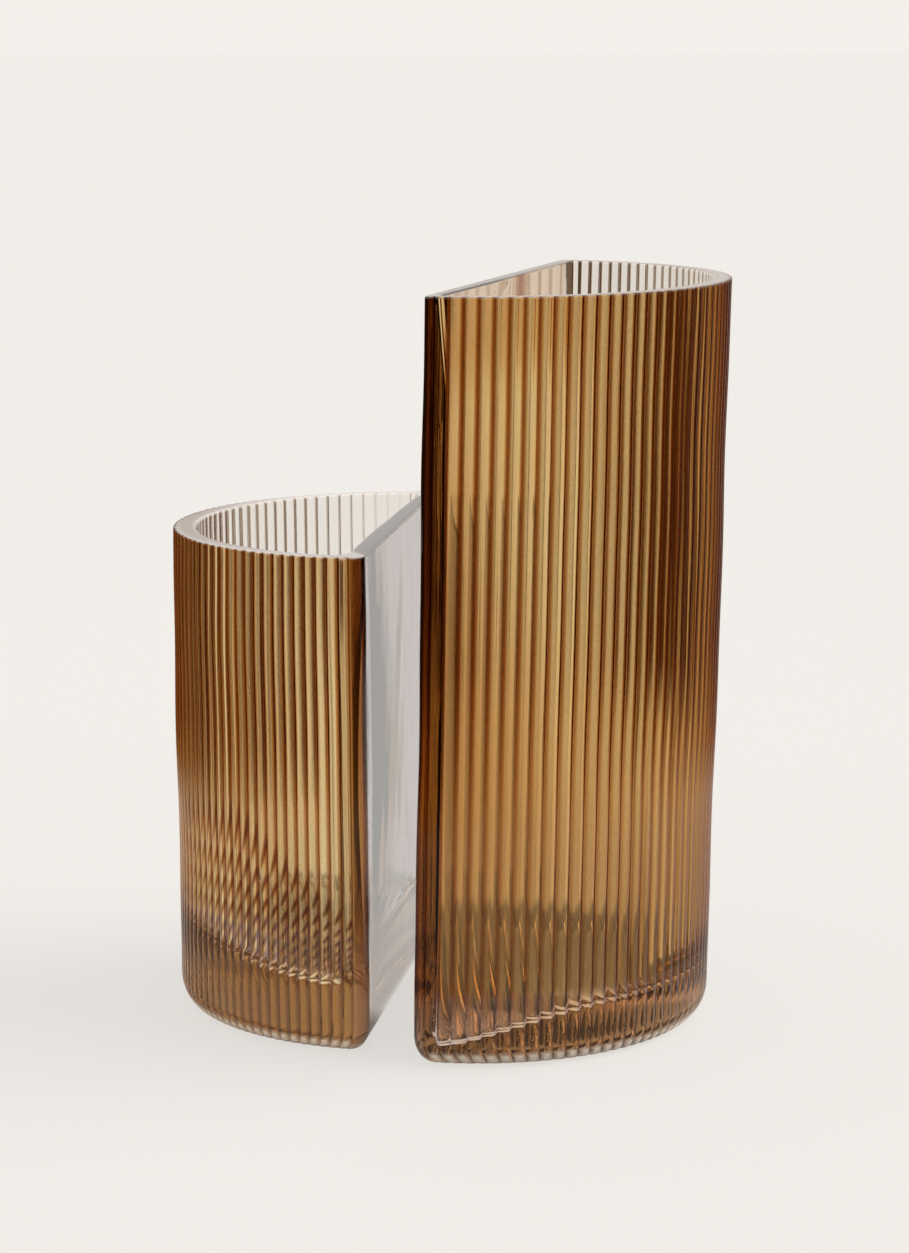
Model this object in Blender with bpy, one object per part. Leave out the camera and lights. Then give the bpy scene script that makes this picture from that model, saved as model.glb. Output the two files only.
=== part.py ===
"""A pair of half-round ribbed glass vases that stand face to face.

Each vase is one piece of glass: a D-shaped tube with a ribbed curved side, a smooth flat side, a thick
crowned floor, a rounded foot and a rim that is cut flat. The two stand with their flat sides towards
each other, each turned a little from the plane between them, and together they suggest one cylinder
with a step in its height. Metres, +Z up. The origin is on the ground, under the middle of the pair.
"""

import math

import bmesh
import bpy
from mathutils import Vector

# Driving dimensions, shared by the two vases.
RADIUS = 0.094  # outside of the ribs on the curved side, at the rim
FOOT_INSET = 0.008  # the rounding under the wall, all the way round, is this wide
FOOT_HEIGHT = 0.012  # and this high
FOOT_CORNER_SHARE = 0.35  # how much of the corner radius is left at the bottom of the foot
RIB_DEPTH = 0.0012
RIB_FOOT_SHARE = 0.50  # how much of the rib depth is left at the bottom of the foot
RIB_CROWDING = 0.10  # how much wider the ribs are at the start of the curved side than at its middle
RIM_SOFTENING = 0.0007  # how far the edges of the cut rim are eased
CUTTER_RISE = 0.010  # how far the cavity's cutter stands above the rim

# Where the two stand. Their turns are about Z, from a curved side that faces +X.
CENTRE_GAP = 0.0348  # between the middles of the two flat sides, along X
TALL_STEP_FORWARD = 0.0115  # how much nearer to -Y the tall vase stands
TOE_OUT = math.radians(4.57)  # each flat side's turn from the plane between them

# Facets.
SEGMENTS_PER_RIB = 4
CORNER_SEGMENTS = 5
FOOT_STEPS = 4
CAVITY_ARC_SEGMENTS = 44
FLOOR_CORNER_STEPS = 4
FLOOR_RINGS = (0.25, 0.5, 0.7, 0.85, 0.93, 1.0)  # rings of the floor, as shares of the way to its edge

# What differs. The curved wall is thickest in the middle of the curved side. The floor is thickest across
# its middle and falls towards the two upright corners, the more sharply the higher its power.
# Flare and lean are how a hand-blown piece comes out of its mould: the rim is wider than the foot by
# flare, and lies further towards the curved side than the foot does by lean.
TALL = {
    "name": "tall_vase",
    "height": 0.300,
    "corner": 0.0042,
    "ribs": 53,
    "wall_ends": 0.0052,
    "wall_middle": 0.0076,
    "flat_wall": 0.0053,
    "cavity_corner": 0.0060,
    "floor_middle": 0.020,
    "floor_ends": 0.005,
    "floor_power": 6,
    "floor_radius": 0.006,
    "flare": 0.0017,
    "lean": 0.0072,
    "place": (CENTRE_GAP / 2, -TALL_STEP_FORWARD / 2),
    "turn": -TOE_OUT,
    "colour": (0.60, 0.36, 0.16),
}
SHORT = {
    "name": "short_vase",
    "height": 0.198,
    "corner": 0.0055,
    "ribs": 55,
    "wall_ends": 0.0066,
    "wall_middle": 0.0100,
    "flat_wall": 0.0078,
    "cavity_corner": 0.0085,
    "floor_middle": 0.033,
    "floor_ends": 0.0235,
    "floor_power": 3,
    "floor_radius": 0.007,
    "flare": 0.0001,
    "lean": 0.0,
    "place": (-CENTRE_GAP / 2, TALL_STEP_FORWARD / 2),
    "turn": math.pi + TOE_OUT,
    "colour": (0.56, 0.33, 0.15),
}


def clear_scene():
    for thing in list(bpy.data.objects):
        bpy.data.objects.remove(thing, do_unlink=True)


def new_collection(name):
    made = bpy.data.collections.new(name)
    bpy.context.scene.collection.children.link(made)
    return made


def coloured_glass(name, colour):
    material = bpy.data.materials.new(name)
    material.use_nodes = True
    shader = material.node_tree.nodes["Principled BSDF"]
    shader.inputs["Base Color"].default_value = (*colour, 1.0)
    shader.inputs["Metallic"].default_value = 0.0
    shader.inputs["Roughness"].default_value = 0.03
    shader.inputs["IOR"].default_value = 1.5
    shader.inputs["Transmission Weight"].default_value = 1.0
    return material


def rib_depths(ribs, depth):
    """How far points along the curved side lie inside it: convex reeds, sharp grooves between them."""
    depths = []
    for step in range(ribs * SEGMENTS_PER_RIB + 1):
        across = 2 * (step % SEGMENTS_PER_RIB) / SEGMENTS_PER_RIB - 1
        depths.append(depth * (1 - math.sqrt(1 - across**2)))
    return depths


def d_outline(radius, flat_at, corner, depths, thickening=0.0):
    """An anticlockwise D: the curved side round +X, a rounded corner, the flat side, a corner.

    The depths belong to points along the curved side, from one corner to the other. Thickening draws
    the middle of the curved side in by that much, and fades out towards the corners.
    """
    reach = math.sqrt((radius - corner) ** 2 - (flat_at + corner) ** 2)
    tangent = math.atan2(reach, flat_at + corner)
    outline = []
    for step, depth in enumerate(depths):
        share = step / (len(depths) - 1)
        angle = tangent * (2 * (share + RIB_CROWDING * share * (1 - share)) - 1)
        r = radius - depth - thickening * max(0.0, math.cos(angle)) ** 2
        outline.append(Vector((r * math.cos(angle), r * math.sin(angle))))
    centre = Vector((flat_at + corner, reach))
    rounded = []
    for step in range(1, CORNER_SEGMENTS + 1):
        angle = tangent + (math.pi - tangent) * step / CORNER_SEGMENTS
        rounded.append(centre + corner * Vector((math.cos(angle), math.sin(angle))))
    outline += rounded
    outline += [Vector((point.x, -point.y)) for point in reversed(rounded)]
    return outline


def raised(vase, outline, height_at):
    """The outline as points in space, each moved by the vase's lean at its own height."""
    points = []
    for point in outline:
        z = height_at(point.y)
        points.append(Vector((point.x + vase["lean"] * z / vase["height"], point.y, z)))
    return points


def outer_section(vase, z, inset):
    """The outside at height z, drawn in where the foot or the rim is rounded."""
    rounding = inset / FOOT_INSET
    radius = RADIUS - vase["flare"] * (1 - z / vase["height"]) - inset
    corner = vase["corner"] * (1 - rounding * (1 - FOOT_CORNER_SHARE))
    depth = RIB_DEPTH * (1 - rounding * (1 - RIB_FOOT_SHARE))
    outline = d_outline(radius, inset, corner, rib_depths(vase["ribs"], depth))
    return raised(vase, outline, lambda y: z)


def cavity_outline(vase, z, inset):
    radius = RADIUS - vase["flare"] * (1 - z / vase["height"]) - vase["wall_ends"] - inset
    corner = max(vase["cavity_corner"] - inset, vase["cavity_corner"] / 2)
    smooth = [0.0] * (CAVITY_ARC_SEGMENTS + 1)
    thickening = vase["wall_middle"] - vase["wall_ends"]
    return d_outline(radius, vase["flat_wall"] + inset, corner, smooth, thickening)


def floor_height(vase, y):
    fall = vase["floor_middle"] - vase["floor_ends"]
    half_length = RADIUS - vase["wall_ends"] - vase["floor_radius"] / 2
    return vase["floor_middle"] - fall * min(1.0, abs(y) / half_length) ** vase["floor_power"]


def loft(name, sections, home):
    """A closed body through sections with the same number of points each, the lowest first."""
    mesh = bmesh.new()
    rings = [[mesh.verts.new(point) for point in section] for section in sections]
    mesh.faces.new(reversed(rings[0]))
    mesh.faces.new(rings[-1])
    for low, high in zip(rings, rings[1:]):
        for i, j in zip(range(len(low)), [*range(1, len(low)), 0]):
            mesh.faces.new((low[i], low[j], high[j], high[i]))
    data = bpy.data.meshes.new(name)
    mesh.to_mesh(data)
    mesh.free()
    body = bpy.data.objects.new(name, data)
    home.objects.link(body)
    return body


def outer_body(vase, home):
    sections = []
    for step in range(FOOT_STEPS + 1):
        angle = math.pi / 2 * step / FOOT_STEPS
        rise = FOOT_HEIGHT * (1 - math.cos(angle))
        inset = FOOT_INSET * (1 - math.sin(angle))
        sections.append(outer_section(vase, rise, inset))
    sections.append(outer_section(vase, vase["height"] - RIM_SOFTENING, 0.0))
    sections.append(outer_section(vase, vase["height"], RIM_SOFTENING))
    return loft(vase["name"], sections, home)


def cavity_cutter(vase, home):
    """The space inside the vase, from its crowned floor up past the rim."""
    corner_radius = vase["floor_radius"]
    edge = cavity_outline(vase, 0.0, corner_radius)
    middle = Vector((sum(point.x for point in edge) / len(edge), 0.0))
    sections = []
    for share in FLOOR_RINGS:
        ring = [middle.lerp(point, share) for point in edge]
        sections.append(raised(vase, ring, lambda y: floor_height(vase, y)))
    for step in range(1, FLOOR_CORNER_STEPS + 1):
        angle = math.pi / 2 * step / FLOOR_CORNER_STEPS
        rise = corner_radius * (1 - math.cos(angle))
        ring = cavity_outline(vase, 0.0, corner_radius * (1 - math.sin(angle)))
        sections.append(raised(vase, ring, lambda y: floor_height(vase, y) + rise))
    top = vase["height"]
    for z, inset in ((top - RIM_SOFTENING, 0.0), (top, -RIM_SOFTENING), (top + CUTTER_RISE, -RIM_SOFTENING)):
        sections.append(raised(vase, cavity_outline(vase, z, inset), lambda y: z))
    cutter = loft(vase["name"] + "_cavity", sections, home)
    cutter.hide_render = True
    cutter.display_type = "WIRE"
    return cutter


def make_vase(vase, home, cutters):
    body = outer_body(vase, home)
    cutter = cavity_cutter(vase, cutters)
    cutter.parent = body
    hollow = body.modifiers.new("cavity", "BOOLEAN")
    hollow.operation = "DIFFERENCE"
    hollow.solver = "EXACT"
    hollow.object = cutter
    body.location = (*vase["place"], 0.0)
    body.rotation_euler.z = vase["turn"]
    body.data.materials.append(coloured_glass(vase["name"] + "_glass", vase["colour"]))
    return body


def centre_over_origin(bodies):
    """Moves the bodies together so that their common box stands over the origin."""
    bpy.context.view_layer.update()
    points = [body.matrix_world @ vertex.co for body in bodies for vertex in body.data.vertices]
    for axis in (0, 1):
        values = [point[axis] for point in points]
        middle = (min(values) + max(values)) / 2
        for body in bodies:
            body.location[axis] -= middle


def main():
    clear_scene()
    home = new_collection("ribbed_glass_vase_pair")
    cutters = new_collection("cutters")
    bodies = [make_vase(vase, home, cutters) for vase in (TALL, SHORT)]
    centre_over_origin(bodies)


main()
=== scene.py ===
"""The looks of the pair of half-round ribbed glass vases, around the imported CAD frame."""

import math

import bpy
import numpy as np
from mathutils import Matrix, Vector


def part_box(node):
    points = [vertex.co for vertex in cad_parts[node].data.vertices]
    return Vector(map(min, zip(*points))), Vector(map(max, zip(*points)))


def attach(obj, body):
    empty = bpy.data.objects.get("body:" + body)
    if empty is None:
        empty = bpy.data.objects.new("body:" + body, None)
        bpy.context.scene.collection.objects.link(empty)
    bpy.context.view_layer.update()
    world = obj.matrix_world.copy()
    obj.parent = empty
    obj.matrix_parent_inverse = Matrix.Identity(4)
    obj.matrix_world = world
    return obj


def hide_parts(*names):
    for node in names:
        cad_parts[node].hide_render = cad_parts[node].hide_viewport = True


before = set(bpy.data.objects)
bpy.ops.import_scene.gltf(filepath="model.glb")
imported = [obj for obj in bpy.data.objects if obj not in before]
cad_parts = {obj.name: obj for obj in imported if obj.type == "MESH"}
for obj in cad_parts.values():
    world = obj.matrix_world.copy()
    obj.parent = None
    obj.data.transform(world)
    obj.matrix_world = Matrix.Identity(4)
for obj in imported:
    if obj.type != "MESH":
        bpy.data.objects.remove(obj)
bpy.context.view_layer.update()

# Shared by the two vases, in metres.
FOOT_INSET = 0.008
FOOT_HEIGHT = 0.012
FOOT_CORNER_SHARE = 0.35
RIB_FOOT_SHARE = 0.5
RIB_CROWDING = 0.10  # how much wider the ribs are at the start of the arc than at its middle
RIM_SOFTENING = 0.0007
RIM_SUPPORT = 0.0003  # how far below the softened edge a ring keeps the wall's shading straight
TOE_OUT = 4.57  # degrees that each flat side turns away from the plane between the vases
SLOW_WAVE = 0.17  # height of one wave of the glass's unevenness
QUICK_WAVE = 0.071
QUICK_SHARE = 0.5
WAVES_START = 0.03  # height where the waviness reaches its full depth
FLAT_WAVINESS = 0.3  # share of the waviness left on the flat side
INSIDE_WAVINESS = 0.8

# Points round one ring, and rings along each stretch of the section.
POINTS_PER_RIB = 12
CORNER_POINTS = 14
FLAT_POINTS = 36
UNDERSIDE_RINGS = 10
FOOT_RINGS = 14
WALL_RINGS = 48
RIM_EDGE_RINGS = 3
RIM_RINGS = 3
FLOOR_CORNER_RINGS = 9
FLOOR_RINGS = 14

TALL = {
    "node": "tall_vase",
    "body": "tall",
    "slot": "tall_glass",
    "radius": 0.094,
    "ribs": 53,
    "rib_depth": 0.0012,
    "corner": 0.0042,
    "turn": -TOE_OUT,
    "lean": 0.0072,
    "flare": 0.0017,
    "wall_ends": 0.0052,
    "wall_middle": 0.0076,
    "flat_wall": 0.0050,
    "flat_bulge": 0.0006,
    "cavity_corner": 0.0036,
    "cavity_corner_swell": 0.0050,
    "floor_middle": 0.020,
    "floor_ends": 0.005,
    "floor_power": 6,
    "floor_radius": 0.0085,
    "waviness": 0.00025,
    "phase": 0.7,
    # Painted shade: the corners are darkened.
    "corner_shade": 0.95,
    "corner_ramp": 0.0,
    # Painted shade: the turn values deepen the stain where the surface turns away.
    "turn_shade_heights": (0.10, 0.16),
    "stain_rises": (0.008, 0.030),
    "low_stain": 0.66,
    "amber": (0.88, 0.50, 0.12),
    "turn_shade_depth": 1.15,
    "grooves_at_ends": 1.8,
    "end_shade_heights": (0.03, 0.15, 0.20, 0.27),
    "end_shades": (0.12, 0.11, 0.07, 0.0),
    "strokes": False,
    # Painted shade: the grooves between the ribs are darkened.
    "groove_shade": 0.44,
    "lower_grooves": 0.45,
    "behind_depth": 0.07,
    "behind_lines": 1.2,
    "inner_warmth": 1.0,
    # How much of the flat side's painted reflection, a lilac-grey tint, this vase takes.
    "flat_reflection_tint": 0.0,
    # Painted shade: the rim is dark brown, and darker still on its straight part.
    "rim": (0.30, 0.20, 0.15),
    "flat_rim": (0.10, 0.04, 0.02),
}
SHORT = {
    "node": "short_vase",
    "body": "short",
    "slot": "short_glass",
    "radius": 0.094,
    "ribs": 55,
    "rib_depth": 0.0012,
    "corner": 0.0055,
    "turn": 180 + TOE_OUT,
    "lean": 0.0,
    "flare": 0.0001,
    "wall_ends": 0.0066,
    "wall_middle": 0.0100,
    "flat_wall": 0.0072,
    "flat_bulge": 0.0012,
    "cavity_corner": 0.0070,
    "cavity_corner_swell": 0.0050,
    "floor_middle": 0.033,
    "floor_ends": 0.0235,
    "floor_power": 3,
    "floor_radius": 0.0090,
    "waviness": 0.00030,
    "phase": 2.1,
    # Painted shade: the corners are darkened.
    "corner_shade": 0.60,
    "corner_ramp": 0.4,
    # Painted shade: the turn values deepen the stain where the surface turns away.
    "turn_shade_heights": (0.095, 0.125),
    "stain_rises": (0.020, 0.050),
    "low_stain": 0.80,
    "amber": (0.99, 0.69, 0.25),
    "turn_shade_depth": 0.50,
    "grooves_at_ends": 0.6,
    "end_shade_heights": (0.0, 0.2),
    "end_shades": (0.0, 0.0),
    "strokes": True,
    # Painted shade: the grooves between the ribs are darkened.
    "groove_shade": 0.85,
    "lower_grooves": 0.70,
    "behind_depth": 0.02,
    "behind_lines": 1.0,
    "inner_warmth": 0.0,
    # How much of the flat side's painted reflection, a lilac-grey tint, this vase takes.
    "flat_reflection_tint": 1.0,
    # Painted highlight on the rim, pale, and painted shade on its straight part, dark.
    "rim": (0.95, 0.89, 0.86),
    "flat_rim": (0.06, 0.045, 0.045),
}


# ---------------------------------------------------------------------------------------------
# The shape of one vase. A ring is an (n, 2) array of points round a D, anticlockwise, with the
# curved side round +X. Every ring has the same points in the same order, inside and outside.


def d_ring(vase, radius, flat_at, corner):
    """A smooth D and its outward normals, before ribs or waviness."""
    reach = math.sqrt((radius - corner) ** 2 - (flat_at + corner) ** 2)
    tangent = math.atan2(reach, flat_at + corner)
    share = np.linspace(0.0, 1.0, vase["ribs"] * POINTS_PER_RIB + 1)
    arc = tangent * (2 * (share + RIB_CROWDING * share * (1 - share)) - 1)
    curved = radius * np.column_stack([np.cos(arc), np.sin(arc)])
    curved_normal = curved / radius
    turn = np.linspace(tangent, math.pi, CORNER_POINTS + 1)[1:]
    corner_normal = np.column_stack([np.cos(turn), np.sin(turn)])
    rounded = np.array([flat_at + corner, reach]) + corner * corner_normal
    down = np.linspace(reach, -reach, FLAT_POINTS + 2)[1:-1]
    flat = np.column_stack([np.full(FLAT_POINTS, flat_at), down])
    flat_normal = np.tile([-1.0, 0.0], (FLAT_POINTS, 1))
    flip = np.array([1.0, -1.0])
    ring = np.vstack([curved, rounded, flat, (rounded * flip)[::-1]])
    normal = np.vstack([curved_normal, corner_normal, flat_normal, (corner_normal * flip)[::-1]])
    return ring, normal


def rib_relief(vase):
    """How far each point of a ring lies below the rib crests, for ribs one metre deep."""
    width = math.pi * vase["radius"] / vase["ribs"]
    depth = vase["rib_depth"]
    bend = (width**2 / 4 + depth**2) / (2 * depth)
    steps = np.arange(vase["ribs"] * POINTS_PER_RIB + 1)
    across = width / 2 * (2 * (steps % POINTS_PER_RIB) / POINTS_PER_RIB - 1)
    grooves = (bend - np.sqrt(bend**2 - across**2)) / depth
    return np.concatenate([grooves, np.zeros(2 * CORNER_POINTS + FLAT_POINTS)])


def waviness(vase, ring, z):
    """The slow unevenness of blown glass, along the outward normal."""
    angle = np.arctan2(ring[:, 1], ring[:, 0])
    phase = vase["phase"]
    slow = np.sin(2 * math.pi * z / SLOW_WAVE + 1.5 * np.sin(angle + phase) + phase)
    quick = np.sin(2 * math.pi * z / QUICK_WAVE + 2.0 * np.cos(2 * angle - phase) + 2 * phase)
    return vase["waviness"] * (slow + QUICK_SHARE * quick)


def leaned(vase, ring, z):
    """Ring points in space at height z, which may differ from point to point."""
    heights = np.broadcast_to(z, len(ring))
    shift = vase["lean"] * heights / vase["height"]
    return np.column_stack([ring[:, 0] + shift, ring[:, 1], heights])


def outer_ring(vase, z, inset):
    """The ribbed outside at height z, drawn in by inset where the foot rounds off or the rim softens."""
    rounding = inset / FOOT_INSET
    radius = vase["radius"] - vase["flare"] * (1 - z / vase["height"]) - inset
    corner = vase["corner"] * (1 - rounding * (1 - FOOT_CORNER_SHARE))
    ring, normal = d_ring(vase, radius, inset, corner)
    depth = vase["rib_depth"] * (1 - rounding * (1 - RIB_FOOT_SHARE))
    on_flat = normal[:, 0] < -0.999
    calm = min(1.0, z / WAVES_START) * np.where(on_flat, FLAT_WAVINESS, 1.0)
    offset = waviness(vase, ring, z) * calm - depth * rib_relief(vase)
    return leaned(vase, ring + normal * offset[:, None], z)


def cavity_ring(vase, z, inset):
    """The inside of the wall at height z: thickest at the middle of the curved and the flat side."""
    height = vase["height"]
    radius = vase["radius"] - vase["flare"] * (1 - z / height) - vase["wall_ends"] - inset
    swell = vase["cavity_corner_swell"] * math.sin(math.pi * min(1.0, max(0.0, z / height)))
    corner = max(vase["cavity_corner"] + swell - inset, vase["cavity_corner"] / 2)
    ring, normal = d_ring(vase, radius, vase["flat_wall"] + inset, corner)
    middle = vase["wall_middle"] - vase["wall_ends"]
    on_curve = np.clip(normal[:, 0], 0.0, 1.0) ** 2
    along = ring[:, 1] / radius
    on_flat = np.clip(-normal[:, 0], 0.0, 1.0) ** 4 * np.clip(1 - along**2, 0.0, 1.0)
    offset = -middle * on_curve - vase["flat_bulge"] * on_flat
    offset += INSIDE_WAVINESS * waviness(vase, -ring, z)
    return ring + normal * offset[:, None]


def floor_height(vase, y):
    """The crowned floor, which falls towards the two corners of the D."""
    rise = vase["floor_middle"] - vase["floor_ends"]
    half_length = vase["radius"] - vase["wall_ends"] - vase["floor_radius"] / 2
    return vase["floor_middle"] - rise * np.minimum(1.0, np.abs(y) / half_length) ** vase["floor_power"]


def sections(vase):
    """Every ring of the vase, from the middle of the underside, up outside, and down inside."""
    height = vase["height"]
    rings = []
    foot = outer_ring(vase, 0.0, FOOT_INSET)
    middle = np.array([foot[:, 0].mean(), 0.0, 0.0])
    for share in np.linspace(0.0, 1.0, UNDERSIDE_RINGS + 1)[1:-1]:
        rings.append(middle + (foot - middle) * share)
    for angle in np.linspace(0.0, math.pi / 2, FOOT_RINGS):
        inset = FOOT_INSET * (1 - math.sin(angle))
        rings.append(outer_ring(vase, FOOT_HEIGHT * (1 - math.cos(angle)), inset))
    rim_foot = height - RIM_SOFTENING
    for z in [*np.linspace(FOOT_HEIGHT, rim_foot, WALL_RINGS - 1)[1:-1], rim_foot - RIM_SUPPORT]:
        rings.append(outer_ring(vase, z, 0.0))
    outer_edge = [
        outer_ring(vase, height - RIM_SOFTENING * (1 - math.sin(a)), RIM_SOFTENING * (1 - math.cos(a)))
        for a in np.linspace(0.0, math.pi / 2, RIM_EDGE_RINGS)
    ]
    inner_edge = [
        leaned(vase, cavity_ring(vase, height, -RIM_SOFTENING * (1 - math.cos(a))),
               height - RIM_SOFTENING * (1 - math.sin(a)))
        for a in np.linspace(math.pi / 2, 0.0, RIM_EDGE_RINGS)
    ]
    rings += outer_edge
    for share in np.linspace(0.0, 1.0, RIM_RINGS + 2)[1:-1]:
        rings.append(outer_edge[-1] * (1 - share) + inner_edge[0] * share)
    rings += inner_edge
    radius = vase["floor_radius"]
    wall_foot = vase["floor_middle"] + radius
    for z in [rim_foot - RIM_SUPPORT, *np.linspace(rim_foot, wall_foot, WALL_RINGS - 1)[1:]]:
        rings.append(leaned(vase, cavity_ring(vase, z, 0.0), z))
    floor_level = vase["floor_middle"]
    for angle in np.linspace(math.pi / 2, 0.0, FLOOR_CORNER_RINGS):
        rise = radius * (1 - math.cos(angle))
        ring = cavity_ring(vase, floor_level, radius * (1 - math.sin(angle)))
        rings.append(leaned(vase, ring, floor_height(vase, ring[:, 1]) + rise))
    edge = rings[-1]
    middle = np.array([edge[:, 0].mean(), 0.0, 0.0])
    for share in np.linspace(1.0, 0.0, FLOOR_RINGS + 1)[1:-1]:
        ring = middle + (edge - middle) * share
        ring[:, 2] = floor_height(vase, ring[:, 1])
        rings.append(ring)
    return rings


def closed_mesh(name, rings):
    """Faces between neighbouring rings, and a point in the middle of the first and the last."""
    count = len(rings[0])
    points = np.vstack([*rings, rings[0].mean(axis=0), rings[-1].mean(axis=0)])
    here = np.arange(count)
    nxt = (here + 1) % count
    square = np.column_stack([here, nxt, nxt + count, here + count])
    quads = [low * count + square for low in range(len(rings) - 1)]
    first, last = len(points) - 2, len(points) - 1
    top = (len(rings) - 1) * count
    fans = [(first, int(n), int(h)) for h, n in zip(here, nxt)]
    fans += [(last, int(top + h), int(top + n)) for h, n in zip(here, nxt)]
    data = bpy.data.meshes.new(name)
    data.from_pydata(points.tolist(), [], np.vstack(quads).tolist() + fans)
    data.validate()
    data.shade_smooth()
    return data


def place_in_box(piece, vase):
    """Turns the piece and moves it to the middle of its CAD node's box."""
    low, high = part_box(vase["node"])
    piece.data.transform(Matrix.Rotation(math.radians(vase["turn"]), 4, "Z"))
    points = np.empty(len(piece.data.vertices) * 3)
    piece.data.vertices.foreach_get("co", points)
    points = points.reshape(-1, 3)
    middle = (points.min(axis=0) + points.max(axis=0)) / 2
    wanted = (low + high) / 2
    piece.data.transform(Matrix.Translation((wanted.x - middle[0], wanted.y - middle[1], 0.0)))


# ---------------------------------------------------------------------------------------------
# Materials. Depths of stain are in units of the layer they belong to: what is let through at depth 1
# is the layer's colour, and at depth 2 its square.

ABSORB_COLOUR = (0.625, 0.40, 0.06)  # the glass itself
ABSORB_DENSITY = 12.0
GLASS_IOR = 1.5
RIPPLE = 0.00003  # height of the fine unevenness
FINE_STREAKS = (60.0, 0.12, 1.0)  # scale of the noise, stretch along the height, and detail
BROAD_STREAKS = (16.0, 0.5, 0.0)
RIPPLE_STREAKS = (45.0, 0.25, 2.0)

AMBER_LAYER = (0.022, 0.0010, 0.00003)  # the stain outside
# How far the surface turns away, as Facing counts it, where painted shade starts to deepen the stain and
# where it ends.
TURN_START = 0.25
TURN_END = 0.60
LOWER_TURN_SHADE = 0.35  # share of that deepening left low on the vase
BASE_DEPTH = 0.05
STREAK_DEPTH = 0.10
BROAD_DEPTH = 0.22
CLEAR_FOOT = 0.0022  # height below which there is no stain
STAIN_FADE = 0.0014
GROOVE_START = 0.50  # share of the way from a crest to a groove where the groove's painted shade starts
GROOVE_ENDS = 0.18  # share of the arc, at each end of it, where the depth of the grooves' painted shade changes
TURNED_GROOVES = 4.5  # how many times deeper still the grooves' painted shade gets where the surface turns away

# Painted shade above the short vase's floor: dark strokes where the thick heel bends the view. Heights are
# above the floor, and widths are in ribs.
STROKES_FROM = 0.022  # where the highest one starts at the ends of the arc
STROKES_RISE = 0.004  # how much higher that is with each rib further in
STROKES_HIGHEST = 0.065
STROKES_LAST_RIB = 22.0  # counted from the nearer end of the arc
STROKES_FADE = 12.0  # over how many ribs they fade out before the last one
STROKES = 6.0  # in each rib, one below another
STROKES_CROWDING = 1.6  # above 1 they get shorter and closer together lower down
STROKE_TIP = 0.7  # below 1 a stroke is darkest above its middle
STROKE_LEAN = 0.55
STROKE_WIDTH = 0.19
STROKE_DEPTH = 0.65

BEHIND_LAYER = (0.03, 0.012, 0.004)  # painted shade: thin dark lines in the back wall's grooves, seen from inside, over a faint even tint
BEHIND_POWER = 7.0  # how narrow they are
INNER_LAYER = (0.64, 0.41, 0.25)  # the warm tone inside the flat wall
INNER_SMEAR = 4.5  # how much warmer one streak of it is
SMEAR_AT = 0.40  # share of the way along the flat side
SMEAR_WIDTH = 0.035
WARM_DROP = (0.025, 0.045)  # how far below the rim that tone starts and stops fading
# Painted reflection: the short vase's flat side is tinted lilac-grey, dimming what shows through it so that
# it reads as the pale reflection there; its coat adds real gloss.
FLAT_REFLECTION_TINT = (0.30, 0.27, 0.34)
FLAT_GLOSS = 0.45
PEARL_HEIGHTS = (0.0002, 0.0020, 0.0042, 0.0060)  # a painted highlight on the feet of the ribs: a pale, partly frosted strip
PEARL_SHARES = (0.20, 0.65, 1.0, 0.0)
PEARL_HIGHLIGHT_COLOUR = (0.88, 0.80, 0.66)
PEARL_HIGHLIGHT_FROST = 0.62
RIM_FROST = 0.6
RIM_ROUGHNESS = 0.15
CORNER_FROST = 0.16
INSIDE_ROUGHNESS = 0.07


def feed(links, socket, value):
    """Links a socket to another one, or sets it to a number or a colour."""
    if isinstance(value, bpy.types.NodeSocket):
        links.new(value, socket)
    else:
        socket.default_value = (*value, 1.0) if isinstance(value, tuple) else value


def maths(nodes, links, operation, *values):
    """A Math node fed with sockets or numbers, and its output."""
    node = nodes.new("ShaderNodeMath")
    node.operation = operation
    for socket, value in zip(node.inputs, values):
        feed(links, socket, value)
    return node.outputs[0]


def clamped(nodes, links, value):
    """A value kept between 0 and 1."""
    return maths(nodes, links, "MINIMUM", maths(nodes, links, "MAXIMUM", value, 0.0), 1.0)


def blend(nodes, links, share, first, second, kind="MIX"):
    """A mix of two colours and its output. The share and the colours are sockets or values."""
    node = nodes.new("ShaderNodeMix")
    node.data_type = "RGBA"
    node.blend_type = kind
    for name, value in (("Factor", share), ("A", first), ("B", second)):
        feed(links, node.inputs[name], value)
    return node.outputs["Result"]


def multiply(nodes, links, first, second):
    return blend(nodes, links, 1.0, first, second, "MULTIPLY")


def layer(nodes, links, colour, depth):
    """What a layer of stain lets through: its colour at depth 1, raised to its depth."""
    node = nodes.new("ShaderNodeGamma")
    feed(links, node.inputs["Color"], colour)
    feed(links, node.inputs["Gamma"], depth)
    return node.outputs["Color"]


def attribute(nodes, name):
    node = nodes.new("ShaderNodeAttribute")
    node.attribute_name = name
    return node.outputs["Fac"]


def streaks(nodes, links, scale, stretch, detail):
    """Noise drawn out along the vase's height, as the glass was when it was blown."""
    coordinates = nodes.new("ShaderNodeTexCoord")
    mapping = nodes.new("ShaderNodeMapping")
    mapping.inputs["Scale"].default_value = (1.0, 1.0, stretch)
    links.new(coordinates.outputs["Object"], mapping.inputs["Vector"])
    noise = nodes.new("ShaderNodeTexNoise")
    noise.inputs["Scale"].default_value = scale
    noise.inputs["Detail"].default_value = detail
    links.new(mapping.outputs["Vector"], noise.inputs["Vector"])
    return noise.outputs["Fac"]


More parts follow.
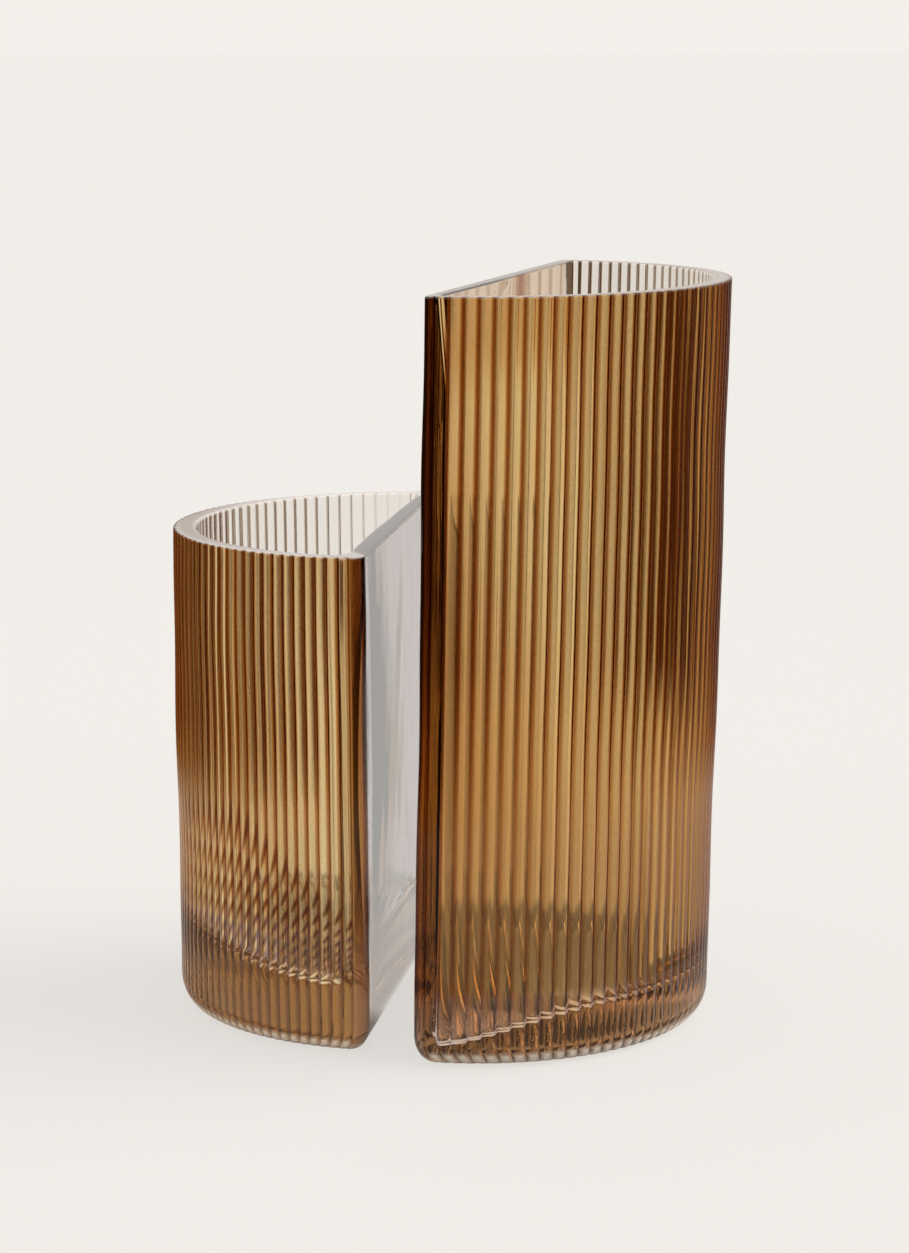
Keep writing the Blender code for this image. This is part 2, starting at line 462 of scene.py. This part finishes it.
def strokes(nodes, links, vase):
    """The depth of the painted dark strokes above the floor: painted shade where the thick heel bends the
    view.

    Each starts at one edge of its rib and leans across it on the way down, pointed at both ends.
    """
    rib = attribute(nodes, "rib")
    place = nodes.new("ShaderNodeSeparateXYZ")
    links.new(nodes.new("ShaderNodeTexCoord").outputs["Object"], place.inputs[0])
    from_end = maths(nodes, links, "MINIMUM", rib, maths(nodes, links, "SUBTRACT", vase["ribs"], rib))
    reach = maths(nodes, links, "MULTIPLY_ADD", from_end, STROKES_RISE, STROKES_FROM)
    reach = maths(nodes, links, "MINIMUM", reach, STROKES_HIGHEST)
    top = maths(nodes, links, "ADD", reach, vase["floor_middle"])
    below = maths(nodes, links, "SUBTRACT", top, place.outputs["Z"])
    below = maths(nodes, links, "MAXIMUM", maths(nodes, links, "DIVIDE", below, reach), 0.0)
    crowded = maths(nodes, links, "POWER", below, STROKES_CROWDING)
    phase = maths(nodes, links, "FRACT", maths(nodes, links, "MULTIPLY", crowded, STROKES))
    turn = maths(nodes, links, "MULTIPLY", maths(nodes, links, "POWER", phase, STROKE_TIP), math.pi)
    strength = maths(nodes, links, "MAXIMUM", maths(nodes, links, "SINE", turn), 0.0)
    middle = maths(nodes, links, "MULTIPLY_ADD", phase, -STROKE_LEAN, 1.0)
    gap = maths(nodes, links, "SUBTRACT", maths(nodes, links, "FRACT", rib), middle)
    gap = maths(nodes, links, "ABSOLUTE", gap)
    line = maths(nodes, links, "MULTIPLY_ADD", gap, -1 / STROKE_WIDTH, 1.0)
    line = maths(nodes, links, "MAXIMUM", line, 0.0)
    above_floor = maths(nodes, links, "LESS_THAN", below, 1.0)
    fade = maths(nodes, links, "SUBTRACT", STROKES_LAST_RIB, from_end)
    fade = clamped(nodes, links, maths(nodes, links, "DIVIDE", fade, STROKES_FADE))
    for factor in (strength, above_floor, fade, STROKE_DEPTH):
        line = maths(nodes, links, "MULTIPLY", line, factor)
    return line


def stain_and_shade_depth(nodes, links, vase):
    """How deep the amber stain is, with painted shade added as more depth: in the grooves, where the
    surface turns away, at the ends of the arc and, on the short vase, in the dark strokes.
    """
    facing = nodes.new("ShaderNodeLayerWeight")
    facing.inputs["Blend"].default_value = 0.5
    turned = nodes.new("ShaderNodeMapRange")
    turned.inputs["From Min"].default_value = TURN_START
    turned.inputs["From Max"].default_value = TURN_END
    links.new(facing.outputs["Facing"], turned.inputs["Value"])
    turned = maths(nodes, links, "MULTIPLY", turned.outputs["Result"], attribute(nodes, "upper"))
    fine = maths(nodes, links, "MULTIPLY_ADD", streaks(nodes, links, *FINE_STREAKS), STREAK_DEPTH,
                 BASE_DEPTH - STREAK_DEPTH / 2)
    broad = maths(nodes, links, "MULTIPLY_ADD", streaks(nodes, links, *BROAD_STREAKS), BROAD_DEPTH,
                  -BROAD_DEPTH / 2)
    in_grooves = maths(nodes, links, "MULTIPLY_ADD", turned, vase["groove_shade"] * TURNED_GROOVES,
                       vase["groove_shade"])
    in_grooves = maths(nodes, links, "MULTIPLY", attribute(nodes, "groove"), in_grooves)
    # Painted shade: the stain is deeper where the surface turns away.
    depth = maths(nodes, links, "MULTIPLY", turned, vase["turn_shade_depth"])
    for more in (fine, broad, attribute(nodes, "shade"), in_grooves):
        depth = maths(nodes, links, "ADD", depth, more)
    # Painted shade: dark strokes above the short vase's floor.
    if vase["strokes"]:
        depth = maths(nodes, links, "ADD", depth, strokes(nodes, links, vase))
    return depth


def glass_colour(nodes, links, vase):
    """The surface's colour: stained outside, with painted shade deepening the stain; thin lines of painted
    shade on the back wall; a painted reflection on the short's flat side; a painted highlight at the feet;
    and painted light and shade on the rim.
    """
    leaving = nodes.new("ShaderNodeNewGeometry").outputs["Backfacing"]
    entering = maths(nodes, links, "SUBTRACT", 1.0, leaving)
    stain, flat = attribute(nodes, "stain"), attribute(nodes, "flat")
    amber = layer(nodes, links, AMBER_LAYER, stain_and_shade_depth(nodes, links, vase))
    amber = multiply(nodes, links, vase["amber"], amber)
    stained = maths(nodes, links, "MULTIPLY", entering, stain)
    tint = blend(nodes, links, stained, (1.0, 1.0, 1.0), amber)
    # Painted reflection: the flat side's lilac-grey tint.
    tint = blend(nodes, links, maths(nodes, links, "MULTIPLY", entering, flat), tint, FLAT_REFLECTION_TINT)
    # Painted shade: thin dark lines in the grooves of the back wall, seen from inside.
    thin_line = maths(nodes, links, "MINIMUM", attribute(nodes, "groove"), 1.0)
    thin_line = maths(nodes, links, "POWER", thin_line, BEHIND_POWER)
    thin_line = maths(nodes, links, "MULTIPLY_ADD", thin_line, vase["behind_lines"], vase["behind_depth"])
    behind = maths(nodes, links, "MULTIPLY", maths(nodes, links, "MULTIPLY", leaving, stain), thin_line)
    tint = multiply(nodes, links, tint, layer(nodes, links, BEHIND_LAYER, behind))
    warmth = maths(nodes, links, "MULTIPLY", entering, attribute(nodes, "inner_warmth"))
    tint = multiply(nodes, links, tint, layer(nodes, links, INNER_LAYER, warmth))
    # The rim's colours are painted light and shade on the one ground, satin rim.
    rim = blend(nodes, links, attribute(nodes, "flat_rim"), vase["rim"], vase["flat_rim"])
    # Painted highlight: a pale strip on the feet of the ribs.
    tint = blend(nodes, links, attribute(nodes, "pearl"), tint, PEARL_HIGHLIGHT_COLOUR)
    return blend(nodes, links, attribute(nodes, "cut"), tint, rim)


def glass_material(name, vase):
    """Clear smoky glass with an amber stain outside, satin at the rim, and frosted at the ribs' feet as a
    painted highlight.
    """
    material = bpy.data.materials.new(name)
    material.use_nodes = True
    nodes, links = material.node_tree.nodes, material.node_tree.links
    shader = nodes["Principled BSDF"]
    links.new(glass_colour(nodes, links, vase), shader.inputs["Base Color"])
    clear = 1.0
    # The strip on the feet of the ribs is frosted as part of its painted highlight.
    for frosted, frost in (("cut", RIM_FROST), ("pearl", PEARL_HIGHLIGHT_FROST), ("corner", CORNER_FROST)):
        clear = maths(nodes, links, "MULTIPLY_ADD", attribute(nodes, frosted), -frost, clear)
    links.new(clear, shader.inputs["Transmission Weight"])
    # The inside is only soft through other glass, so that the back wall stays sharp over the rim.
    path = nodes.new("ShaderNodeLightPath")
    through_glass = maths(nodes, links, "GREATER_THAN", path.outputs["Transmission Depth"], 0.5)
    softness = maths(nodes, links, "MULTIPLY", attribute(nodes, "inside"), INSIDE_ROUGHNESS)
    softness = maths(nodes, links, "MULTIPLY", softness, through_glass)
    softness = maths(nodes, links, "MULTIPLY_ADD", attribute(nodes, "cut"), RIM_ROUGHNESS, softness)
    links.new(softness, shader.inputs["Roughness"])
    shader.inputs["IOR"].default_value = GLASS_IOR
    gloss = maths(nodes, links, "MULTIPLY", attribute(nodes, "flat"), FLAT_GLOSS)
    links.new(gloss, shader.inputs["Coat Weight"])
    ripple = nodes.new("ShaderNodeBump")
    ripple.inputs["Strength"].default_value = 1.0
    ripple.inputs["Distance"].default_value = RIPPLE
    links.new(streaks(nodes, links, *RIPPLE_STREAKS), ripple.inputs["Height"])
    links.new(ripple.outputs["Normal"], shader.inputs["Normal"])
    volume = nodes.new("ShaderNodeVolumeAbsorption")
    volume.inputs["Color"].default_value = (*ABSORB_COLOUR, 1.0)
    volume.inputs["Density"].default_value = ABSORB_DENSITY
    links.new(volume.outputs["Volume"], nodes["Material Output"].inputs["Volume"])
    return material


def plain_material(name, colour, roughness):
    material = bpy.data.materials.new(name)
    material.use_nodes = True
    shader = material.node_tree.nodes["Principled BSDF"]
    shader.inputs["Base Color"].default_value = (*colour, 1.0)
    shader.inputs["Roughness"].default_value = roughness
    return material


def mark_surfaces(data, vase):
    """Point attributes that the glass material reads.

    Outside: "stain" covers the curved side and the corners, "upper" says how much of the painted shade
    where the surface turns away is left at a height, "groove" is painted shade between the ribs and on the
    corners, "rib" counts the ribs, "shade" is painted shade at the ends of the arc, "corner" and "flat"
    cover those parts, the flat side with its painted reflection, and "pearl" is a painted highlight on the
    feet of the ribs.
    On top: "cut" covers the rim and "flat_rim" its straight part. Inside: "inside" covers all but the
    flat wall, which has "inner_warmth".
    """
    arc = vase["ribs"] * POINTS_PER_RIB + 1
    count = arc + 2 * CORNER_POINTS + FLAT_POINTS
    first = UNDERSIDE_RINGS - 1
    outer = first + FOOT_RINGS + WALL_RINGS - 2 + RIM_EDGE_RINGS - 1
    points = np.empty(len(data.vertices) * 3)
    data.vertices.foreach_get("co", points)
    heights = points[2::3]

    def outside(ring):
        values = np.zeros(len(heights))
        values[first * count:outer * count] = np.tile(ring, outer - first)
        return values

    on_flat = np.zeros(count)
    on_flat[arc + CORNER_POINTS:arc + CORNER_POINTS + FLAT_POINTS] = 1.0
    across = np.abs(2 * (np.arange(arc) % POINTS_PER_RIB) / POINTS_PER_RIB - 1)
    along = np.linspace(0.0, 1.0, arc)
    near_ends = np.clip(1 - np.minimum(along, 1 - along) / GROOVE_ENDS, 0.0, 1.0)
    # Painted shade: the grooves between the ribs and the corners are darkened.
    groove = np.zeros(count)
    ramp = vase["corner_shade"] * np.linspace(0.0, 1.0, CORNER_POINTS) ** vase["corner_ramp"]
    groove[arc:arc + CORNER_POINTS] = ramp
    groove[-CORNER_POINTS:] = ramp[::-1]
    groove[:arc] = np.clip((across - GROOVE_START) / (1 - GROOVE_START), 0.0, 1.0)
    groove[:arc] *= 1 + (vase["grooves_at_ends"] - 1) * near_ends
    crest = np.zeros(count)
    crest[:arc] = 1 - across**2
    flat_share = np.zeros(count)
    flat_share[on_flat > 0] = np.linspace(0.0, 1.0, FLAT_POINTS)
    inner = 1 + INNER_SMEAR * np.exp(-((flat_share - SMEAR_AT) / SMEAR_WIDTH) ** 2)
    warmth = np.zeros(len(heights))
    inner_first = outer + RIM_RINGS + 2
    inner_last = (len(heights) - 2) // count
    warmth[inner_first * count:inner_last * count] = np.tile(inner * on_flat, inner_last - inner_first)
    warmth *= np.interp(vase["height"] - heights, WARM_DROP, [1.0, 0.0])
    cut = np.zeros(len(heights))
    cut[outer * count:(outer + RIM_RINGS + 2) * count] = 1.0
    flat_rim = np.zeros(len(heights))
    flat_rim[outer * count:(outer + RIM_RINGS + 2) * count] = np.tile(on_flat, RIM_RINGS + 2)
    foot = np.interp(heights, [CLEAR_FOOT, CLEAR_FOOT + STAIN_FADE, *vase["stain_rises"]],
                     [0.0, vase["low_stain"], vase["low_stain"], 1.0])
    ends = np.zeros(count)
    ends[:arc] = np.sqrt(near_ends)
    rib = np.zeros(count)
    rib[:arc] = np.arange(arc) / POINTS_PER_RIB
    corner = 1 - on_flat
    corner[:arc] = 0.0
    inside = np.zeros(len(heights))
    inside[inner_first * count:inner_last * count] = np.tile(1 - on_flat, inner_last - inner_first)
    turned_at = vase["turn_shade_heights"]
    marks = {
        "rib": outside(rib),
        "corner": outside(corner),
        "inside": inside,
        "shade": outside(ends) * np.interp(heights, vase["end_shade_heights"], vase["end_shades"]),
        "stain": outside(1 - on_flat) * foot,
        "upper": np.interp(heights, turned_at, [LOWER_TURN_SHADE, 1.0]),
        "groove": outside(groove) * np.interp(heights, turned_at, [vase["lower_grooves"], 1.0]),
        # Painted highlight on the feet of the ribs.
        "pearl": outside(crest) * np.interp(heights, PEARL_HEIGHTS, PEARL_SHARES),
        "flat": outside(on_flat) * vase["flat_reflection_tint"],
        "cut": cut,
        "flat_rim": flat_rim,
        "inner_warmth": warmth * vase["inner_warmth"],
    }
    for name, values in marks.items():
        data.attributes.new(name, "FLOAT", "POINT").data.foreach_set("value", values)


def make_vase(vase):
    """One vase as a single closed mesh of glass, on its own body of the frame."""
    vase["height"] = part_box(vase["node"])[1].z
    data = closed_mesh(vase["node"] + "_glass", sections(vase))
    piece = bpy.data.objects.new(vase["node"] + "_glass", data)
    bpy.context.scene.collection.objects.link(piece)
    place_in_box(piece, vase)
    data.materials.append(glass_material(vase["node"] + "_amber", vase))
    mark_surfaces(data, vase)
    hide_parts(vase["node"])
    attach(piece, vase["body"])


# ---------------------------------------------------------------------------------------------
# Studio

STUDIO_COLOUR = (0.896, 0.863, 0.823)
FLOOR_SIZE = 40.0
FLOOR_LEVEL = -0.0004
FLOOR_WHITE = 0.556
FLOOR_GLOW = 0.72
# Painted shadow on the floor as seen through glass: metres from the pair's middle, and share of the
# studio's colour.
FRONT_TONES = [(0.0, 0.12), (0.060, 0.12), (0.076, 1.0), (0.5, 1.0)]
BEHIND_TONES = [(0.0, 0.15), (0.090, 0.15), (0.150, 0.35), (0.175, 0.95), (0.5, 1.0)]
TONES_REACH = 0.5
FRONT_EDGE = (-0.020, -0.045)  # where along Y the tones behind give way to those in front
MIRRORED_TONES = (0.80, 0.25)  # painted shade on the floor in reflections, behind and in front

# Flags and screens: degrees left of the main view axis where one starts and ends, and its distance.
FLAGS = [(-136, -52, 0.62), (31, 64, 0.44), (92, 197, 0.50)]
FLAG_HEIGHT = 0.34
# Painted shade: the flags and the front screen glow this dark amber, the flags seen only through glass and
# the screen only in reflections.
FLAG_COLOUR = (0.11, 0.034, 0.008)
SCREEN = (10, 306, 0.45)
WARM_SCREEN = (306, 328, 0.45)
# Painted reflection: the warm screen glows this orange on the glass's edges.
WARM_COLOUR = (0.42, 0.22, 0.10)
SCREEN_HEIGHT = 0.28
CARD_COLUMNS = 40
CARD_ROWS = 12
SOFT_DEGREES = 5.0  # width of a card's soft side edges
SOFT_HEIGHT = 0.03  # height of its soft lower edge
LOWEST_COVER = 0.3  # how much it covers at the floor

KEY_ANGLE = 60.0  # width of the lamp in the sky, in degrees
KEY_STRENGTH = 4.0
KEY_DIRECTION = (-1.0, -0.25, -0.65)
TOP_LIGHT_HEIGHT = 1.4
TOP_LIGHT_SIZE = 2.4
TOP_LIGHT_STRENGTH = 3.0

CAMERA_AZIMUTH = 13.36
CAMERA_ELEVATION = 10.10
CAMERA_ROLL = -0.336
CAMERA_PLACE = (0.3371, -1.4112, 0.4152)
CAMERA_LENS = 103.75
SENSOR_WIDTH = 36.0


def floor_material():
    """Pale paint that glows a little where it is seen directly, painted light that keeps shadows light, as
    on a lit sweep.

    Seen through glass it is all glow, with painted shadow: dim under the middle of the pair, bright round
    its edge. In reflections it glows too, painted darker in front than behind.
    """
    material = plain_material("studio_floor_paint", (FLOOR_WHITE,) * 3, 0.9)
    nodes, links = material.node_tree.nodes, material.node_tree.links
    where = nodes.new("ShaderNodeNewGeometry").outputs["Position"]
    away = nodes.new("ShaderNodeVectorMath")
    away.operation = "LENGTH"
    links.new(where, away.inputs[0])
    across = nodes.new("ShaderNodeSeparateXYZ")
    links.new(where, across.inputs[0])
    front = nodes.new("ShaderNodeMapRange")
    front.inputs["From Min"].default_value, front.inputs["From Max"].default_value = FRONT_EDGE
    links.new(across.outputs["Y"], front.inputs["Value"])
    tones = []
    for stops in (BEHIND_TONES, FRONT_TONES):
        tone = nodes.new("ShaderNodeValToRGB")
        tone.color_ramp.interpolation = "EASE"
        elements = tone.color_ramp.elements
        while len(elements) < len(stops):
            elements.new(0.5)
        for element, (distance, share) in zip(elements, stops):
            element.position = distance / TONES_REACH
            element.color = (*(channel * share for channel in STUDIO_COLOUR), 1.0)
        links.new(maths(nodes, links, "DIVIDE", away.outputs["Value"], TONES_REACH), tone.inputs[0])
        tones.append(tone.outputs["Color"])
    paths = nodes.new("ShaderNodeLightPath").outputs
    # Painted shadow seen through glass, and painted shade in reflections.
    under = blend(nodes, links, front.outputs["Result"], *tones)
    seen = blend(nodes, links, paths["Is Transmission Ray"], STUDIO_COLOUR, under)
    shown = [tuple(channel * share for channel in STUDIO_COLOUR) for share in MIRRORED_TONES]
    reflected = blend(nodes, links, front.outputs["Result"], *shown)
    glow = nodes.new("ShaderNodeEmission")
    mirrored = maths(nodes, links, "GREATER_THAN", paths["Is Glossy Ray"], paths["Is Transmission Ray"])
    links.new(blend(nodes, links, mirrored, seen, reflected), glow.inputs["Color"])
    mix = nodes.new("ShaderNodeMixShader")
    either = maths(nodes, links, "MAXIMUM", paths["Is Transmission Ray"], paths["Is Glossy Ray"])
    links.new(maths(nodes, links, "MULTIPLY_ADD", either, 1.0 - FLOOR_GLOW, FLOOR_GLOW), mix.inputs["Fac"])
    links.new(nodes["Principled BSDF"].outputs[0], mix.inputs[1])
    links.new(glow.outputs[0], mix.inputs[2])
    links.new(mix.outputs[0], nodes["Material Output"].inputs["Surface"])
    return material


def make_stage():
    """The floor, the even sky, and the lights and cards round the pair."""
    bpy.ops.mesh.primitive_plane_add(size=FLOOR_SIZE, location=(0.0, 0.0, FLOOR_LEVEL))
    floor = bpy.context.object
    floor.name = "studio_floor"
    floor.data.materials.append(floor_material())
    world = bpy.data.worlds.new("studio")
    bpy.context.scene.world = world
    world.use_nodes = True
    sky = world.node_tree.nodes["Background"]
    sky.inputs["Color"].default_value = (*STUDIO_COLOUR, 1.0)
    sky.inputs["Strength"].default_value = 1.0
    cloth = flag_cloth("flag_cloth", FLAG_COLOUR)
    for number, (start, end, distance) in enumerate(FLAGS):
        flag = curved_card(f"flag_{number}", cloth, start, end, distance, FLAG_HEIGHT)
        flag.visible_glossy = False
    screen = curved_card("front_screen", cloth, *SCREEN, SCREEN_HEIGHT)
    screen.visible_transmission = False
    warm = curved_card("warm_screen", flag_cloth("warm_cloth", WARM_COLOUR), *WARM_SCREEN, SCREEN_HEIGHT)
    warm.visible_transmission = False
    top_light()
    key_light()


def stage_unseen(card):
    """Makes a card part of the stage that only reflections and refractions show."""
    card.visible_camera = False
    card.visible_diffuse = False
    card.visible_shadow = False


def key_light():
    """A large soft light from behind on the right, so that the pair's shadow lies to the left front."""
    lamp = bpy.data.objects.new("key_light", bpy.data.lights.new("key_light", "SUN"))
    lamp.data.angle = math.radians(KEY_ANGLE)
    lamp.data.energy = KEY_STRENGTH
    lamp.data.color = STUDIO_COLOUR
    lamp.rotation_euler = Vector(KEY_DIRECTION).to_track_quat("-Z", "Y").to_euler()
    bpy.context.scene.collection.objects.link(lamp)
    lamp.visible_glossy = False
    lamp.visible_transmission = False


def top_light():
    """A bright softbox overhead, which only the foot, the floor corners and the rims catch."""
    bpy.ops.mesh.primitive_plane_add(size=TOP_LIGHT_SIZE, location=(0.0, 0.0, TOP_LIGHT_HEIGHT))
    card = bpy.context.object
    card.name = "top_light"
    material = bpy.data.materials.new("softbox")
    material.use_nodes = True
    nodes, links = material.node_tree.nodes, material.node_tree.links
    nodes.remove(nodes["Principled BSDF"])
    glow = nodes.new("ShaderNodeEmission")
    glow.inputs["Color"].default_value = (*STUDIO_COLOUR, 1.0)
    glow.inputs["Strength"].default_value = TOP_LIGHT_STRENGTH
    links.new(glow.outputs[0], nodes["Material Output"].inputs["Surface"])
    card.data.materials.append(material)
    stage_unseen(card)


def flag_cloth(name, colour):
    """Cloth that glows with an even colour, whatever the light, and thins out towards the edges of its
    card: painted shade and painted reflections seen only in the glass.
    """
    material = bpy.data.materials.new(name)
    material.use_nodes = True
    nodes, links = material.node_tree.nodes, material.node_tree.links
    nodes.remove(nodes["Principled BSDF"])
    clear = nodes.new("ShaderNodeBsdfTransparent")
    cloth = nodes.new("ShaderNodeEmission")
    cloth.inputs["Color"].default_value = (*colour, 1.0)
    mix = nodes.new("ShaderNodeMixShader")
    links.new(attribute(nodes, "cover"), mix.inputs["Fac"])
    links.new(clear.outputs[0], mix.inputs[1])
    links.new(cloth.outputs[0], mix.inputs[2])
    links.new(mix.outputs[0], nodes["Material Output"].inputs["Surface"])
    return material


def curved_card(name, material, start, end, distance, height):
    """A card round the object, from one angle left of the view axis to another, soft at its edges."""
    sweep, rise = np.meshgrid(np.linspace(0.0, 1.0, CARD_COLUMNS + 1), np.linspace(0.0, 1.0, CARD_ROWS + 1))
    angle = math.pi / 2 + math.radians(CAMERA_AZIMUTH) + np.radians(start + (end - start) * sweep)
    points = np.stack([distance * np.cos(angle), distance * np.sin(angle), height * rise], axis=-1)
    first = (np.arange(CARD_ROWS)[:, None] * (CARD_COLUMNS + 1) + np.arange(CARD_COLUMNS)).ravel()
    faces = np.column_stack([first, first + 1, first + CARD_COLUMNS + 2, first + CARD_COLUMNS + 1])
    data = bpy.data.meshes.new(name)
    data.from_pydata(points.reshape(-1, 3).tolist(), [], faces.tolist())
    side_fade = np.minimum(sweep, 1 - sweep) * (end - start) / SOFT_DEGREES
    low_fade = rise * height / SOFT_HEIGHT
    cover = np.clip(np.minimum(side_fade, low_fade + LOWEST_COVER), 0.0, 1.0)
    data.attributes.new("cover", "FLOAT", "POINT").data.foreach_set("value", cover.ravel())
    card = bpy.data.objects.new(name, data)
    bpy.context.scene.collection.objects.link(card)
    card.data.materials.append(material)
    stage_unseen(card)
    return card


def make_camera():
    """A camera with the view of the product shot: a long lens, a little above the rims."""
    camera = bpy.data.objects.new("camera", bpy.data.cameras.new("camera"))
    bpy.context.scene.collection.objects.link(camera)
    camera.data.sensor_width = SENSOR_WIDTH
    camera.data.lens = CAMERA_LENS
    camera.location = CAMERA_PLACE
    azimuth = Matrix.Rotation(math.radians(CAMERA_AZIMUTH), 3, "Z")
    elevation = Matrix.Rotation(math.radians(90 - CAMERA_ELEVATION), 3, "X")
    roll = Matrix.Rotation(math.radians(CAMERA_ROLL), 3, "Z")
    camera.rotation_euler = (azimuth @ elevation @ roll).to_euler()
    bpy.context.scene.camera = camera


def main():
    make_camera()
    make_stage()
    for vase in (TALL, SHORT):
        make_vase(vase)
    scene = bpy.context.scene
    scene.view_settings.view_transform = "Standard"
    scene.cycles.max_bounces = 32
    scene.cycles.transmission_bounces = 32
    scene.cycles.glossy_bounces = 12


main()
